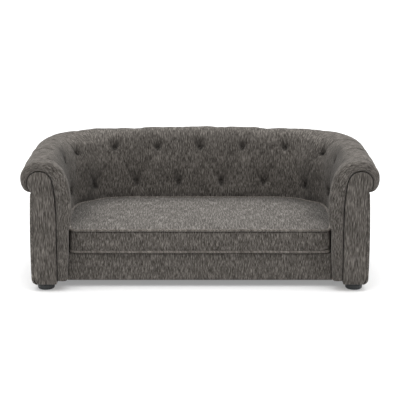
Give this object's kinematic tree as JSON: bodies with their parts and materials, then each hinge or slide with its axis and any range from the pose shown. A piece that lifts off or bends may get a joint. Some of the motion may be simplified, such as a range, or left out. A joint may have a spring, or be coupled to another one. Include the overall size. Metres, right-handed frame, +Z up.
{
  "type": "dog bed with frame",
  "caption": "Small rolled-arm tub sofa for a dog: button-tufted back and arms, loose piped seat cushion, padded front rail and round screw-in feet on a wooden frame.",
  "frame": {"origin": "on the floor under the centre of the overall box", "axes": "+X to the right seen from the front, +Y towards the back, +Z up"},
  "size_m": [1.034, 0.595, 0.395],
  "materials": {
    "padding_fabric": "matt flecked tweed",
    "panel_fabric": "matt flecked tweed",
    "outside_fabric": "matt flecked tweed",
    "rail_fabric": "matt flecked tweed",
    "cushion_fabric": "matt flecked tweed",
    "button_fabric": "matt flecked tweed",
    "piping": "matt flecked tweed",
    "foam": "open-cell foam",
    "timber": "planed softwood",
    "plywood": "sanded plywood",
    "dust_cloth": "non-woven cloth",
    "zip_tape": "woven tape",
    "foot_plastic": "satin",
    "bolt_steel": "zinc plated",
    "zip_metal": "gunmetal"
  },
  "bodies": {
    "sofa_frame": {"left_arm_front_panel": "panel_fabric", "right_arm_front_panel": "panel_fabric", "left_arm_front_board": "plywood", "right_arm_front_board": "plywood", "left_arm_padding": "padding_fabric", "right_arm_padding": "padding_fabric", "back_padding": "padding_fabric", "left_outside_arm_panel": "outside_fabric", "right_outside_arm_panel": "outside_fabric", "outside_back_panel": "outside_fabric", "left_arm_top_rail": "timber", "right_arm_top_rail": "timber", "back_top_rail": "timber", "left_rear_post": "timber", "right_rear_post": "timber", "left_front_corner_block": "timber", "right_front_corner_block": "timber", "left_rear_corner_block": "timber", "right_rear_corner_block": "timber", "left_side_rail": "timber", "right_side_rail": "timber", "back_rail": "timber", "front_rail": "timber", "front_rail_cover": "rail_fabric", "seat_deck": "plywood", "dust_cover": "dust_cloth", "left_front_foot": "foot_plastic", "right_front_foot": "foot_plastic", "left_rear_foot": "foot_plastic", "right_rear_foot": "foot_plastic", "left_front_foot_bolt": "bolt_steel", "right_front_foot_bolt": "bolt_steel", "left_rear_foot_bolt": "bolt_steel", "right_rear_foot_bolt": "bolt_steel", "upper_tuft_button_01": "button_fabric", "upper_tuft_button_02": "button_fabric", "upper_tuft_button_03": "button_fabric", "upper_tuft_button_04": "button_fabric", "upper_tuft_button_05": "button_fabric", "upper_tuft_button_06": "button_fabric", "upper_tuft_button_07": "button_fabric", "upper_tuft_button_08": "button_fabric", "upper_tuft_button_09": "button_fabric", "lower_tuft_button_01": "button_fabric", "lower_tuft_button_02": "button_fabric", "lower_tuft_button_03": "button_fabric", "lower_tuft_button_04": "button_fabric", "lower_tuft_button_05": "button_fabric", "lower_tuft_button_06": "button_fabric", "lower_tuft_button_07": "button_fabric", "lower_tuft_button_08": "button_fabric", "lower_tuft_button_09": "button_fabric", "lower_tuft_button_10": "button_fabric"},
    "seat_cushion": {"cushion_cover": "cushion_fabric", "cushion_foam": "foam", "cushion_top_piping": "piping", "cushion_bottom_piping": "piping", "cushion_zip_tape": "zip_tape"},
    "zip_slider": {"zip_slider": "zip_metal"},
    "zip_pull": {"zip_pull": "zip_metal"}
  },
  "joints": [
    {"name": "cushion_lift", "type": "slide", "parent": "sofa_frame", "child": "seat_cushion", "axis": [0, 0, 1], "range_m": [0, 0.35]},
    {"name": "zip_slide", "type": "slide", "parent": "seat_cushion", "child": "zip_slider", "axis": [-1, 0, 0], "range_m": [0, 0.38]},
    {"name": "zip_pull_swing", "type": "hinge", "parent": "zip_slider", "child": "zip_pull", "pos_m": [0.19, 0.1805, 0.14115], "axis": [0, 1, 0], "range_deg": [-90, 90]}
  ]
}
